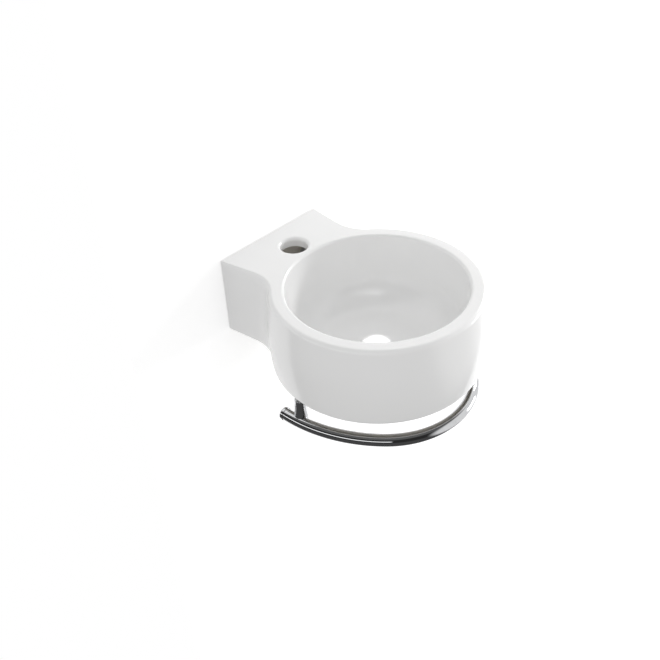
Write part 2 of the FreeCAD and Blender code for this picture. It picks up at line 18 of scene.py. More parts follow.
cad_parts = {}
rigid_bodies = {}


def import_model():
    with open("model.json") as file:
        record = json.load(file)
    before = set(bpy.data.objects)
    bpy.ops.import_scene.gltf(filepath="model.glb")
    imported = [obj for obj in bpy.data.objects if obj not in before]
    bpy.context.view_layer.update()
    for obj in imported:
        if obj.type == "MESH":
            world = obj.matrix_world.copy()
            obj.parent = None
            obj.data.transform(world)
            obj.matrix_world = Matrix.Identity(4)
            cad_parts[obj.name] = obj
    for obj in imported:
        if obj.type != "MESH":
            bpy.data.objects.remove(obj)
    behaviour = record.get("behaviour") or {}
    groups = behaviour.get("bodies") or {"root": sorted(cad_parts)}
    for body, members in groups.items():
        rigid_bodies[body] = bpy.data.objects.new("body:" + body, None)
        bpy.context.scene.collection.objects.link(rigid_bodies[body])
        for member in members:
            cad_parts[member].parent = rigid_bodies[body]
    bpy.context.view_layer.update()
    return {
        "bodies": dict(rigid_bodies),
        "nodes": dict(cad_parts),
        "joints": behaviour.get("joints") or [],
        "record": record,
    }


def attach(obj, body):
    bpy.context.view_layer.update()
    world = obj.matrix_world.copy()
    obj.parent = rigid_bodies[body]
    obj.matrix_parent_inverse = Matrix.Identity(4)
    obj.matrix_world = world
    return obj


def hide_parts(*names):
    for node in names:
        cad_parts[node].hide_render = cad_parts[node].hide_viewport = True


LOG = logging.getLogger("basin")

Pair = tuple[float, float]
Point = tuple[float, float, float]
Colour = tuple[float, float, float, float]
Profile = list[Pair]

RIM_Z = 0.045
BASE_Z = -0.0625
AXIS_Y = -0.187
POST_PLACE: Pair = (0.12429, -0.16919)
SIDES: tuple[tuple[str, int], ...] = (("left", -1), ("right", 1))

# How far a cutting solid stands past the face that it cuts.
OVER = 0.001
# The radius under which a ring of corners is one pole.
POLE = 1e-9
# The distance under which two corners are one.
MERGE = 1e-7
# A quarter turn in radians.
QUARTER = 0.5 * math.pi
# The places of a Mix node's sockets when it mixes colours.
MIX_FACTOR, MIX_FIRST, MIX_SECOND, MIX_RESULT = 0, 6, 7, 2


class Role(Enum):
    """Material slots of the record that a piece takes its finish from."""

    CERAMIC = "ceramic"
    CHROME = "chrome"
    ZINC = "zinc_steel"
    NYLON = "nylon"
    GASKET = "gasket"


class Ray(Enum):
    """Kinds of light ray that a shader can tell apart."""

    CAMERA = "Is Camera Ray"
    MIRROR = "Is Glossy Ray"
    THROUGH = "Is Transmission Ray"


class Cut(Enum):
    """Ways to put a tool to a piece."""

    ADD = "UNION"
    TAKE = "DIFFERENCE"


CARRIED: tuple[tuple[str, Role], ...] = (
    ("post_gasket", Role.GASKET),
    ("post_stud", Role.ZINC),
    ("post_socket_plug", Role.NYLON),
    ("wall_stud", Role.ZINC),
    ("wall_sleeve", Role.NYLON),
    ("wall_washer", Role.ZINC),
    ("wall_nut", Role.ZINC),
    ("rail_", Role.CHROME),
    ("towel_rail", Role.CHROME),
    ("basin", Role.CERAMIC),
)


# ---------------------------------------------------------------------------
# Shader building
# ---------------------------------------------------------------------------
@dataclass(frozen=True)
class Grain:
    """The scale, detail and roughness of a noise pattern."""

    scale: float
    detail: float = 3.0
    roughness: float = 0.5


@dataclass(frozen=True)
class Fade:
    """A smooth step between two limits and the share that it counts for."""

    start: float
    end: float
    share: float


class Value:
    """A number socket that adds Math nodes when it is used in an expression."""

    def __init__(self, tree: "NodeTree", socket: Any) -> None:
        """Keep the tree and the output socket."""
        self.tree = tree
        self.socket = socket

    def _math(self, operation: str, *terms: Any) -> "Value":
        """Return the result of one Math node over the terms."""
        return self.tree.value("ShaderNodeMath", dict(enumerate(terms)), operation=operation)

    def __add__(self, other: Any) -> "Value":
        """Return self + other."""
        return self._math("ADD", self, other)

    __radd__ = __add__

    def __sub__(self, other: Any) -> "Value":
        """Return self - other."""
        return self._math("SUBTRACT", self, other)

    def __rsub__(self, other: Any) -> "Value":
        """Return other - self."""
        return self._math("SUBTRACT", other, self)

    def __mul__(self, other: Any) -> "Value":
        """Return self * other."""
        return self._math("MULTIPLY", self, other)

    __rmul__ = __mul__

    def ramp(self, start: float, end: float) -> "Value":
        """Return a smooth step over the value.

        Args:
            start: Where the step is 0.
            end: Where the step is 1; it may be below the start.

        Returns:
            The step, from 0 to 1.
        """
        inputs = {"Value": self, "From Min": start, "From Max": end}
        settings = {"interpolation_type": "SMOOTHSTEP", "clamp": True}
        return self.tree.value("ShaderNodeMapRange", inputs, **settings)

    def fade(self, fade: Fade) -> "Value":
        """Return a smooth step over the value times the fade's share."""
        return self.ramp(fade.start, fade.end) * fade.share


class NodeTree:
    """A tree of nodes with one method that adds any node."""

    def __init__(self, tree: bpy.types.NodeTree) -> None:
        """Start from an empty tree."""
        self.tree = tree
        tree.nodes.clear()

    def node(self, kind: str, inputs: dict[Any, Any] | None = None, **settings: Any) -> Any:
        """Add a node, set its settings first and then its inputs.

        Args:
            kind: The node's type name.
            inputs: Input name or index to a number, colour, socket or Value.
            settings: Attributes of the node.

        Returns:
            The new node.
        """
        made = self.tree.nodes.new(kind)
        for name, setting in settings.items():
            setattr(made, name, setting)
        for key, value in (inputs or {}).items():
            self._feed(made.inputs[key], value)
        return made

    def _feed(self, socket: Any, value: Any) -> None:
        """Link or set one input socket.

        Args:
            socket: The input socket.
            value: A Value or a socket to link, or what the socket is set to.
        """
        if isinstance(value, Value):
            self.tree.links.new(value.socket, socket)
        elif isinstance(value, bpy.types.NodeSocket):
            self.tree.links.new(value, socket)
        else:
            socket.default_value = value

    def value(self, kind: str, inputs: dict[Any, Any], **settings: Any) -> Value:
        """Add a node and return its first output as a Value."""
        return Value(self, self.node(kind, inputs, **settings).outputs[0])

    def where(self) -> Any:
        """Return the socket of the object's own coordinates."""
        return self.node("ShaderNodeTexCoord").outputs["Object"]

    def axes(self) -> list[Value]:
        """Return x, y and z of the object's own coordinates."""
        parts = self.node("ShaderNodeSeparateXYZ", {"Vector": self.where()})
        return [Value(self, output) for output in parts.outputs]

    def ray(self, kind: Ray) -> Value:
        """Return 1 for rays of a kind and 0 for others."""
        return Value(self, self.node("ShaderNodeLightPath").outputs[kind.value])

    def seen(self) -> Value:
        """Return 1 for rays that show the surroundings as they look."""
        rays = self.ray(Ray.CAMERA) + self.ray(Ray.MIRROR) + self.ray(Ray.THROUGH)
        return rays.ramp(0.0, 1.0)

    def noise(self, where: Any, grain: Grain) -> Value:
        """Return a noise value over the coordinates.

        Args:
            where: The socket of the coordinates.
            grain: The pattern's scale, detail and roughness.

        Returns:
            The noise value.
        """
        inputs = {
            "Vector": where,
            "Scale": grain.scale,
            "Detail": grain.detail,
            "Roughness": grain.roughness,
        }
        return self.value("ShaderNodeTexNoise", inputs)

    def blend(self, factor: Any, first: Colour, second: Colour) -> Any:
        """Return the socket of a colour between two colours."""
        inputs = {MIX_FACTOR: factor, MIX_FIRST: first, MIX_SECOND: second}
        return self.node("ShaderNodeMix", inputs, data_type="RGBA").outputs[MIX_RESULT]

    def bump(self, height: Any, strength: float, distance: float) -> Any:
        """Return the socket of a normal bent by a height value."""
        inputs = {"Strength": strength, "Distance": distance, "Height": height}
        return self.node("ShaderNodeBump", inputs).outputs[0]

    def principled(self, inputs: dict[str, Any]) -> Any:
        """Return the socket of a principled shader with the inputs."""
        return self.node("ShaderNodeBsdfPrincipled", inputs).outputs[0]


def colour(red: float, green: float, blue: float) -> Colour:
    """Return a full colour from three parts."""
    return (red, green, blue, 1.0)


WHITE = colour(1.0, 1.0, 1.0)


# ---------------------------------------------------------------------------
# Finishes
# ---------------------------------------------------------------------------
@dataclass(frozen=True)
class Finish:
    """What every finish has: a name and a shader."""

    name: str

    def shader(self, tree: NodeTree) -> Any:
        """Return the socket of the finish's shader in the tree."""
        raise NotImplementedError

    def material(self) -> bpy.types.Material:
        """Make the finish.

        Returns:
            A new material with the finish's name and shader.
        """
        material = bpy.data.materials.new(self.name)
        material.use_nodes = True
        tree = NodeTree(material.node_tree)
        tree.node("ShaderNodeOutputMaterial", {"Surface": self.shader(tree)})
        return material


@dataclass(frozen=True)
class GlazeFinish(Finish):
    """White glaze fired on the basin: deep gloss with a faint pull."""

    name: str = "white_glaze"
    tone: Colour = colour(0.94, 0.94, 0.937)
    warm: Colour = colour(0.925, 0.925, 0.919)
    cloud: Grain = Grain(9.0, 2.0)
    pull: Grain = Grain(38.0, 2.0, 0.45)
    speck: Grain = Grain(900.0, 1.0)
    speck_limits: Pair = (0.70, 0.78)
    cloud_tint: Fade = Fade(0.35, 0.7, 0.6)
    speck_tint: float = 0.25
    rough: float = 0.20
    cloud_rough: float = 0.06
    speck_rough: float = 0.05
    refraction: float = 1.5
    specular: float = 0.5
    coat: float = 0.3
    coat_rough: float = 0.05
    relief: Pair = (0.10, 0.0006)

    def shader(self, tree: NodeTree) -> Any:
        """Lay clouds, specks and a faint pull into the gloss.

        Args:
            tree: The material's tree.

        Returns:
            The shader's socket.
        """
        where = tree.where()
        cloud = tree.noise(where, self.cloud)
        pull = tree.noise(where, self.pull)
        speck = tree.noise(where, self.speck).ramp(*self.speck_limits)
        tint = cloud.fade(self.cloud_tint) + speck * self.speck_tint
        inputs = {
            "Base Color": tree.blend(tint, self.tone, self.warm),
            "Roughness": self.rough + cloud * self.cloud_rough + speck * self.speck_rough,
            "IOR": self.refraction,
            "Specular IOR Level": self.specular,
            "Coat Weight": self.coat,
            "Coat Roughness": self.coat_rough,
            "Normal": tree.bump(pull, *self.relief),
        }
        return tree.principled(inputs)


@dataclass(frozen=True)
class BisqueFinish(Finish):
    """Bare fired clay where the glaze is wiped off."""

    name: str = "bare_fired_clay"
    tone: Colour = colour(0.70, 0.675, 0.63)
    dark: Colour = colour(0.58, 0.55, 0.50)
    grit: Grain = Grain(1400.0, 4.0, 0.6)
    stain: Grain = Grain(22.0, 3.0)
    drag_scale: float = 60.0
    drag_bend: float = 6.0
    grit_tint: Fade = Fade(0.35, 0.75, 0.5)
    stain_tint: float = 0.35
    rough: float = 0.72
    grit_rough: float = 0.2
    drag_height: float = 0.25
    relief: Pair = (0.35, 0.0003)

    def shader(self, tree: NodeTree) -> Any:
        """Lay grit, stains and the drag marks of the sponge into the clay.

        Args:
            tree: The material's tree.

        Returns:
            The shader's socket.
        """
        where = tree.where()
        grit = tree.noise(where, self.grit)
        stain = tree.noise(where, self.stain)
        bands = {"Vector": where, "Scale": self.drag_scale, "Distortion": self.drag_bend}
        drag = tree.value("ShaderNodeTexWave", bands)
        tint = grit.fade(self.grit_tint) + stain * self.stain_tint
        inputs = {
            "Base Color": tree.blend(tint, self.tone, self.dark),
            "Roughness": self.rough + grit * self.grit_rough,
            "Normal": tree.bump(grit + drag * self.drag_height, *self.relief),
        }
        return tree.principled(inputs)


@dataclass(frozen=True)
class ChromeFinish(Finish):
    """Bright chrome plate with faint polishing marks and water haze."""

    name: str = "chrome_plate"
    tone: Colour = colour(0.62, 0.625, 0.635)
    haze: Colour = colour(0.52, 0.525, 0.535)
    film: Grain = Grain(60.0, 4.0, 0.55)
    marks: Grain = Grain(1600.0, 2.0, 0.6)
    ripple: Grain = Grain(90.0, 1.0)
    film_tint: Fade = Fade(0.45, 0.8, 0.5)
    rough: float = 0.045
    film_rough: Fade = Fade(0.4, 0.8, 0.05)
    marks_rough: float = 0.02
    marks_height: float = 0.04
    relief: Pair = (0.05, 0.0004)

    def shader(self, tree: NodeTree) -> Any:
        """Lay water haze and polishing marks over the plate.

        Args:
            tree: The material's tree.

        Returns:
            The shader's socket.
        """
        where = tree.where()
        film = tree.noise(where, self.film)
        marks = tree.noise(where, self.marks)
        ripple = tree.noise(where, self.ripple)
        inputs = {
            "Base Color": tree.blend(film.fade(self.film_tint), self.tone, self.haze),
            "Metallic": 1.0,
            "Roughness": self.rough + film.fade(self.film_rough) + marks * self.marks_rough,
            "Normal": tree.bump(ripple + marks * self.marks_height, *self.relief),
        }
        return tree.principled(inputs)


@dataclass(frozen=True)
class ZincFinish(Finish):
    """Zinc plated steel with a fine spangle and dull smears."""

    name: str = "zinc_plate"
    tone: Colour = colour(0.56, 0.565, 0.575)
    dull: Colour = colour(0.40, 0.405, 0.41)
    spangle_scale: float = 900.0
    smear: Grain = Grain(240.0, 4.0, 0.6)
    spangle_tint: Fade = Fade(0.2, 0.9, 0.35)
    smear_tint: Fade = Fade(0.4, 0.8, 0.4)
    rough: float = 0.27
    smear_rough: float = 0.2
    relief: Pair = (0.12, 0.0002)

    def shader(self, tree: NodeTree) -> Any:
        """Lay the spangle and the smears over the zinc.

        Args:
            tree: The material's tree.

        Returns:
            The shader's socket.
        """
        where = tree.where()
        cells = {"Vector": where, "Scale": self.spangle_scale}
        spangle = tree.value("ShaderNodeTexVoronoi", cells)
        smear = tree.noise(where, self.smear)
        tint = spangle.fade(self.spangle_tint) + smear.fade(self.smear_tint)
        inputs = {
            "Base Color": tree.blend(tint, self.tone, self.dull),
            "Metallic": 1.0,
            "Roughness": self.rough + smear * self.smear_rough,
            "Normal": tree.bump(spangle + smear, *self.relief),
        }
        return tree.principled(inputs)


@dataclass(frozen=True)
class MouldedFinish(Finish):
    """Moulded plastic or soft rubber with a fine mould grain."""

    tone: Colour
    shade: Colour
    rough: float
    grain: Grain = Grain(1800.0, 2.0)
    flow: Grain = Grain(120.0, 3.0)
    flow_limits: Pair = (0.3, 0.75)
    grain_rough: float = 0.14
    relief: Pair = (0.2, 0.0002)

    def shader(self, tree: NodeTree) -> Any:
        """Lay the flow of the moulding and the mould's grain into the piece.

        Args:
            tree: The material's tree.

        Returns:
            The shader's socket.
        """
        where = tree.where()
        grain = tree.noise(where, self.grain)
        flow = tree.noise(where, self.flow).ramp(*self.flow_limits)
        inputs = {
            "Base Color": tree.blend(flow, self.tone, self.shade),
            "Roughness": self.rough + grain * self.grain_rough,
            "Normal": tree.bump(grain, *self.relief),
        }
        return tree.principled(inputs)


@dataclass(frozen=True)
class BackdropFinish(Finish):
    """Matt white paint that reads as plain white and is clear from behind."""

    name: str = "backdrop_white"
    paint: float = 0.8
    lift: float = 0.45
    grain: Grain = Grain(700.0, 2.0)
    relief: Pair = (0.05, 0.0005)

    def shader(self, tree: NodeTree) -> Any:
        """Lift the paint to white where it is seen and clear its back.

        Args:
            tree: The material's tree.

        Returns:
            The shader's socket.
        """
        grain = tree.noise(tree.where(), self.grain)
        matt = {
            "Color": colour(self.paint, self.paint, self.paint),
            "Normal": tree.bump(grain, *self.relief),
        }
        paint = tree.node("ShaderNodeBsdfDiffuse", matt)
        light = {"Color": WHITE, "Strength": tree.seen() * self.lift}
        glow = tree.node("ShaderNodeEmission", light)
        front = tree.node("ShaderNodeAddShader", {0: paint.outputs[0], 1: glow.outputs[0]})
        behind = tree.node("ShaderNodeNewGeometry").outputs["Backfacing"]
        clear = tree.node("ShaderNodeBsdfTransparent")
        sides = {0: behind, 1: front.outputs[0], 2: clear.outputs[0]}
        return tree.node("ShaderNodeMixShader", sides).outputs[0]


class Finishes:
    """All finishes of the object, each made once."""

    def __init__(self) -> None:
        """Make the materials of the slots, and the bare clay beside them."""
        nylon = MouldedFinish(
            "natural_nylon", colour(0.72, 0.70, 0.64), colour(0.64, 0.62, 0.56), 0.38
        )
        gasket = MouldedFinish(
            "clear_soft_ring", colour(0.60, 0.60, 0.58), colour(0.52, 0.52, 0.50), 0.45
        )
        self.slots: dict[Role, bpy.types.Material] = {
            Role.CERAMIC: GlazeFinish().material(),
            Role.CHROME: ChromeFinish().material(),
            Role.ZINC: ZincFinish().material(),
            Role.NYLON: nylon.material(),
            Role.GASKET: gasket.material(),
        }
        self.clay = BisqueFinish().material()


# ---------------------------------------------------------------------------
# Mesh helpers
# ---------------------------------------------------------------------------
def link(name: str, data: Any) -> bpy.types.Object:
    """Show data in the scene.

    Args:
        name: The object's name.
        data: Its mesh, curve, lamp or camera.

    Returns:
        The new object.
    """
    made = bpy.data.objects.new(name, data)
    bpy.context.scene.collection.objects.link(made)
    return made


def mesh_object(
    name: str, points: Sequence[Any], faces: Sequence[Sequence[int]]
) -> bpy.types.Object:
    """Make an object from points and faces, with its normals outward.

    Args:
        name: The object's name.
        points: The corners.
        faces: The numbers of each face's corners.

    Returns:
        The new object.
    """
    mesh = bpy.data.meshes.new(name)
    mesh.from_pydata([tuple(point) for point in points], [], [tuple(face) for face in faces])
    shape = bmesh.new()
    shape.from_mesh(mesh)
    bmesh.ops.remove_doubles(shape, verts=shape.verts, dist=MERGE)
    bmesh.ops.recalc_face_normals(shape, faces=shape.faces)
    shape.to_mesh(mesh)
    shape.free()
    return link(name, mesh)


def turned(name: str, profile: Profile, segments: int, frame: Matrix) -> bpy.types.Object:
    """Turn a solid from a closed profile.

    Args:
        name: The object's name.
        profile: Corners (radius, height) in order; a radius of zero is a pole.
        segments: The number of steps round the axis.
        frame: Where the turning axis and its foot are.

    Returns:
        The new object with its place in its mesh.
    """
    points: list[Vector] = []
    rings: list[list[int]] = []
    for radius, height in profile:
        if radius < POLE:
            rings.append([len(points)] * segments)
            points.append(frame @ Vector((0, 0, height)))
            continue
        rings.append(list(range(len(points), len(points) + segments)))
        for step in range(segments):
            angle = 2 * math.pi * step / segments
            spoke = Vector((radius * math.cos(angle), radius * math.sin(angle), height))
            points.append(frame @ spoke)
    faces: list[list[int]] = []
    for first, second in zip(rings, rings[1:] + rings[:1]):
        for step in range(segments):
            after = (step + 1) % segments
            face = [first[step], first[after], second[after], second[step]]
            kept = [corner for index, corner in enumerate(face) if corner not in face[:index]]
            if len(kept) > 2:
                faces.append(kept)
    return mesh_object(name, points, faces)


def arc(centre: Pair, radius: float, start: float, end: float, steps: int) -> Profile:
    """Return profile corners along an arc.

    Args:
        centre: The arc's centre in the profile.
        radius: The arc's radius.
        start: The first angle in degrees, from the side away from the axis.
        end: The last angle in degrees.
        steps: The number of steps between them.

    Returns:
        The corners, one more than the steps.
    """
    corners: Profile = []
    for step in range(steps + 1):
        angle = math.radians(start + (end - start) * step / steps)
        corners.append((centre[0] + radius * math.cos(angle), centre[1] + radius * math.sin(angle)))
    return corners


def plan_arc(
    centre: Vector, radius: float, start: float, sweep: float, steps: int
) -> list[Vector]:
    """Return the points along an arc in plan, with its angles in radians."""
    angles = [start + sweep * step / steps for step in range(steps + 1)]
    return [centre + Vector((math.cos(angle), math.sin(angle))) * radius for angle in angles]


def rod(radius: float, low: float, high: float) -> Profile:
    """Return the profile of a plain rod between two heights."""
    return [(0.0, low), (radius, low), (radius, high), (0.0, high)]


def flipped(profile: Profile) -> Profile:
    """Return a profile of depths as a profile of heights."""
    return [(radius, -depth) for radius, depth in profile]


def upright(x: float, y: float, z: float) -> Matrix:
    """Return a frame whose axis points up from a foot."""
    return Matrix.Translation((x, y, z))


def into_wall(x: float, y: float, z: float) -> Matrix:
    """Return a frame whose axis points into the wall from a foot."""
    return Matrix.Translation((x, y, z)) @ Matrix.Rotation(-QUARTER, 4, "X")


def inset_share(distance: float, rounding: float) -> float:
    """Return the share of a rounded edge's inset left at a distance from its face."""
    left = max(0.0, 1.0 - distance / rounding)
    return 1.0 - math.sqrt(1.0 - left * left)


def baked(piece: bpy.types.Object, name: str) -> bpy.types.Object:
    """Turn a piece with modifiers into one of plain mesh.

    Args:
        piece: The piece, which is deleted.
        name: The name of the new object and its mesh.

    Returns:
        The new object.
    """
    graph = bpy.context.evaluated_depsgraph_get()
    mesh = bpy.data.meshes.new_from_object(piece.evaluated_get(graph))
    mesh.name = name
    bpy.data.objects.remove(piece)
    return link(name, mesh)


def carve(
    piece: bpy.types.Object, tools: Sequence[bpy.types.Object], cut: Cut
) -> bpy.types.Object:
    """Put tools to a piece, one after the other.

    Args:
        piece: The piece, which is deleted.
        tools: The solids to add or take away, which are deleted too.
        cut: Whether they are added or taken away.

    Returns:
        The worked piece.
    """
    for tool in tools:
        step = piece.modifiers.new(tool.name, "BOOLEAN")
        step.operation = cut.value
        step.solver = "EXACT"
        step.object = tool
    made = baked(piece, piece.name)
    for tool in tools:
        bpy.data.objects.remove(tool)
    return made


def smooth(piece: bpy.types.Object, degrees: float) -> bpy.types.Object:
    """Shade a piece smooth, with its flats true and its edges crisp.

    Args:
        piece: The piece, which is deleted.
        degrees: The angle past which an edge is crisp.

    Returns:
        The shaded piece.
    """
    mesh = piece.data
    mesh.shade_smooth()
    mesh.set_sharp_from_angle(angle=math.radians(degrees))
    weighted = piece.modifiers.new("flats", "WEIGHTED_NORMAL")
    weighted.keep_sharp = True
    weighted.weight = 100
    return baked(piece, piece.name)


def dress(piece: bpy.types.Object, *materials: bpy.types.Material) -> None:
    """Give a piece its materials in place of those it has.

    Args:
        piece: The piece or CAD node.
        materials: The materials in the order of their slots.
    """
    piece.data.materials.clear()
    for material in materials:
        piece.data.materials.append(material)


def hand_over(piece: bpy.types.Object, node: str) -> None:
    """Let a piece ride on the part and stand for a CAD node.

    Args:
        piece: The finished piece.
        node: The CAD node that it replaces.
    """
    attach(piece, "root")
    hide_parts(node)
    LOG.info("piece %s: %d faces", piece.name, len(piece.data.polygons))


# ---------------------------------------------------------------------------
# Ceramic basin
# ---------------------------------------------------------------------------
@dataclass
class CeramicBasin:
    """The one piece ceramic body: drum, tap ledge, bowl and hollow underside."""

    height: float = 0.1075
    rim_radius: float = 0.1312
    bulge: float = 0.0052
    bulge_depth: float = 0.060
    base_growth: float = 0.0022
    rim_rounding: float = 0.005
    rim_inset_at_wall: float = 0.001
    ledge_rounding: float = 0.014
    ledge_inset: float = 0.006
    base_rounding: float = 0.0055
    base_insets: Pair = (0.0008, 0.0012)
    ledge_half_width: float = 0.0864
    ledge_taper: float = math.radians(5.9)
    neck_from_wall: float = 0.072
    neck_fillet_at_rim: float = 0.050
    neck_fillet_at_base: float = 0.075
    back_ease: float = 0.0015
    ease_over: float = 0.02

    bowl_radius: float = 0.1125
    bowl_edge: float = 0.004
    bowl_draft: float = math.radians(6.4)
    waste_depth: float = 0.097
    floor_slope: float = math.radians(4.0)
    bottom_rounding: float = 0.048
    waste_radius: float = 0.023
    waste_edge: float = 0.004
    tap_radius: float = 0.0175
    tap_from_wall: float = 0.047
    tap_edge: float = 0.0045

    slab: float = 0.0125
    back: float = 0.014
    shell: float = 0.010
    shell_behind_tap: float = 0.007
    skirt: float = 0.010
    pocket_top: float = 0.052
    pocket_floor: float = 0.076
    keep_span: Pair = (-0.01, 0.2)
    boss_radius: float = 0.011
    boss_span: Pair = (-0.01, 0.030)
    pad_radius: float = 0.006
    pad_height: float = 0.0075
    socket_radius: float = 0.0041
    socket_depth: float = 0.022
    fixing_x: float = 0.050
    fixing_radius: float = 0.0073
    fixing_start: float = -0.0145
    fixing_length: float = 0.016

    bare_at_wall: float = 0.0004
    bare_at_foot: float = 0.0003
    bare_ring_depth: float = 0.0515
    bare_ring_radii: Pair = (0.1225, 0.1245)
    bare_ring_slopes: Pair = (-0.05, 0.9)
    bare_ledge_radius: float = 0.119
    bare_ledge_half: float = 0.0752
    bare_ledge_span: Pair = (-0.0885, -0.0139)
    bare_ledge_roof: float = 0.0004

    rim_steps: int = 8
    ledge_steps: int = 5
    wall_steps: int = 20
    side_steps: int = 14
    drum_steps: int = 96
    lip_steps: int = 8
    tap_lip_steps: int = 10
    bottom_steps: int = 26
    pocket_steps: int = 20
    bowl_segments: int = 192
    pocket_segments: int = 160
    tap_segments: int = 96
    small_segments: int = 64
    socket_segments: int = 48
    crisp: float = 35.0

    def wall_radius(self, depth: float) -> float:
        """Find the drum's outer radius at a depth.

        Args:
            depth: The depth below the rim.

        Returns:
            The radius.
        """
        share = depth / self.bulge_depth
        if share <= 1.0:
            return self.rim_radius + self.bulge * math.sin(QUARTER * share)
        below = (depth - self.bulge_depth) / (self.height - self.bulge_depth)
        return self.rim_radius + self.bulge - (self.bulge - self.base_growth) * below * below

    def outline(self, depth: float, insets: Point) -> list[Vector]:
        """Lay out the right half of the plan at a depth.

        Args:
            depth: The depth below the rim.
            insets: How far the plan draws in at the wall, the neck and the drum.

        Returns:
            The points from the wall to the front of the drum.
        """
        at_wall, at_neck, at_drum = insets
        radius = self.wall_radius(depth) - at_drum
        growth = (self.neck_fillet_at_base - self.neck_fillet_at_rim) * depth / self.height
        fillet = self.neck_fillet_at_rim + growth + 0.5 * (at_neck + at_drum)
        along = Vector((-math.sin(self.ledge_taper), -math.cos(self.ledge_taper)))
        outward = Vector((math.cos(self.ledge_taper), -math.sin(self.ledge_taper)))
        along = (along * self.neck_from_wall - outward * (at_neck - at_wall)).normalized()
        outward = Vector((-along.y, along.x))
        centre = Vector((0.0, AXIS_Y))
        corner = Vector((self.ledge_half_width - at_wall, 0.0))
        start = corner + outward * fillet - centre
        reach = radius + fillet
        half = start.dot(along)
        travel = -half - math.sqrt(half * half - start.dot(start) + reach * reach)
        hub = centre + start + along * travel
        on_side = hub - outward * fillet
        to_hub = (hub - centre).normalized()
        steps = self.side_steps
        points = [corner.lerp(on_side, step / steps) for step in range(steps)]
        first = math.atan2(-outward.y, -outward.x)
        last = math.atan2(-to_hub.y, -to_hub.x)
        sweep = (last - first + math.pi) % (2 * math.pi) - math.pi
        points += plan_arc(hub, fillet, first, sweep, steps)[:-1]
        drum = math.atan2(to_hub.y, to_hub.x)
        points += plan_arc(centre, radius, drum, -QUARTER - drum, self.drum_steps)
        return [Vector((point.x, point.y, RIM_Z - depth)) for point in points]

    def levels(self) -> list[tuple[float, Point]]:
        """List the levels of the outer form from the rim to the base.

        Returns:
            The depth and the insets of each level.
        """
        turns = [QUARTER * step / self.rim_steps for step in range(self.rim_steps + 1)]
        depths = [self.rim_rounding * (1.0 - math.cos(turn)) for turn in turns]
        drop = self.ledge_rounding - self.rim_rounding
        for step in range(1, self.ledge_steps + 1):
            depths.append(self.rim_rounding + drop * step / self.ledge_steps)
        found: list[tuple[float, Point]] = []
        for depth in depths:
            share = inset_share(depth, self.rim_rounding)
            at_wall = self.rim_inset_at_wall * share
            at_neck = self.ledge_inset * inset_share(depth, self.ledge_rounding)
            found.append((depth, (at_wall, at_neck, self.rim_rounding * share)))
        span = self.height - self.ledge_rounding - self.base_rounding
        for step in range(1, self.wall_steps):
            depth = self.ledge_rounding + span * step / self.wall_steps
            found.append((depth, (0.0, 0.0, 0.0)))
        at_wall, at_neck = self.base_insets
        for turn in reversed(turns):
            height = self.base_rounding * (1.0 - math.cos(turn))
            share = inset_share(height, self.base_rounding)
            insets = (at_wall * share, at_neck * share, self.base_rounding * share)
            found.append((self.height - height, insets))
        return found

    def outside(self) -> bpy.types.Object:
        """Make the closed outer form, without any hole.

        Returns:
            The solid, with its edges along the wall eased.
        """
        points: list[Vector] = []
        rings: list[list[int]] = []
        for depth, insets in self.levels():
            right = self.outline(depth, insets)
            left = [Vector((-point.x, point.y, point.z)) for point in reversed(right[:-1])]
            rings.append(list(range(len(points), len(points) + len(right) + len(left))))
            points.extend(right + left)
        faces: list[list[int]] = [rings[0], rings[-1][::-1]]
        for first, second in zip(rings, rings[1:]):
            for step in range(len(first) - 1):
                faces.append([first[step], second[step], second[step + 1], first[step + 1]])
        faces.append([ring[0] for ring in rings] + [ring[-1] for ring in reversed(rings)])
        return carve(mesh_object("basin_body", points, faces), self.back_tools(), Cut.TAKE)

    def back_tools(self) -> list[bpy.types.Object]:
        """Make the wedges that ease the casting's edges along the wall.

        Returns:
            One wedge for each of the four edges.
        """
        ease, half = self.back_ease, self.ledge_half_width
        middle = 0.5 * (RIM_Z + BASE_Z)
        wedge = [(ease, -2 * ease), (ease, ease), (-2 * ease, ease)]
        faces = [(0, 1, 2), (3, 4, 5), (0, 1, 4, 3), (1, 2, 5, 4), (2, 0, 3, 5)]
        tools = []
        for name, x, z, reach, turn in (
            ("top", 0.0, RIM_Z, half + self.ease_over, 0.0),
            ("base", 0.0, BASE_Z, half + self.ease_over, 2 * QUARTER),
            ("left", -half, middle, self.height, QUARTER),
            ("right", half, middle, self.height, -QUARTER),
        ):
            frame = Matrix.Translation((x, 0.0, z)) @ Matrix.Rotation(-turn, 4, "Y")
            corners = [frame @ Vector((end, *edge)) for end in (-reach, reach) for edge in wedge]
            tools.append(mesh_object("ease_" + name, corners, faces))
        return tools

    def wall_end(self) -> Pair:
        """Find where the bowl's wall runs into the big rounding.

        Returns:
            The radius and the depth of that place.
        """
        draft = math.tan(self.bowl_draft)
        slope = math.tan(self.floor_slope)
        span = self.bowl_radius - self.waste_radius
        depth = (self.waste_depth - slope * span) / (1.0 - slope * draft)
        radius = self.bowl_radius - draft * depth
        bend = QUARTER - self.bowl_draft - self.floor_slope
        reach = self.bottom_rounding * math.tan(0.5 * bend)
        up = reach * math.cos(self.bowl_draft)
        return radius + reach * math.sin(self.bowl_draft), depth - up

    def rounding_centre(self) -> Pair:
        """Find the centre of the bowl's big rounding.

        Returns:
            The radius and the depth of the centre.
        """
        radius, depth = self.wall_end()
        inward = self.bottom_rounding * math.cos(self.bowl_draft)
        return radius - inward, depth - self.bottom_rounding * math.sin(self.bowl_draft)

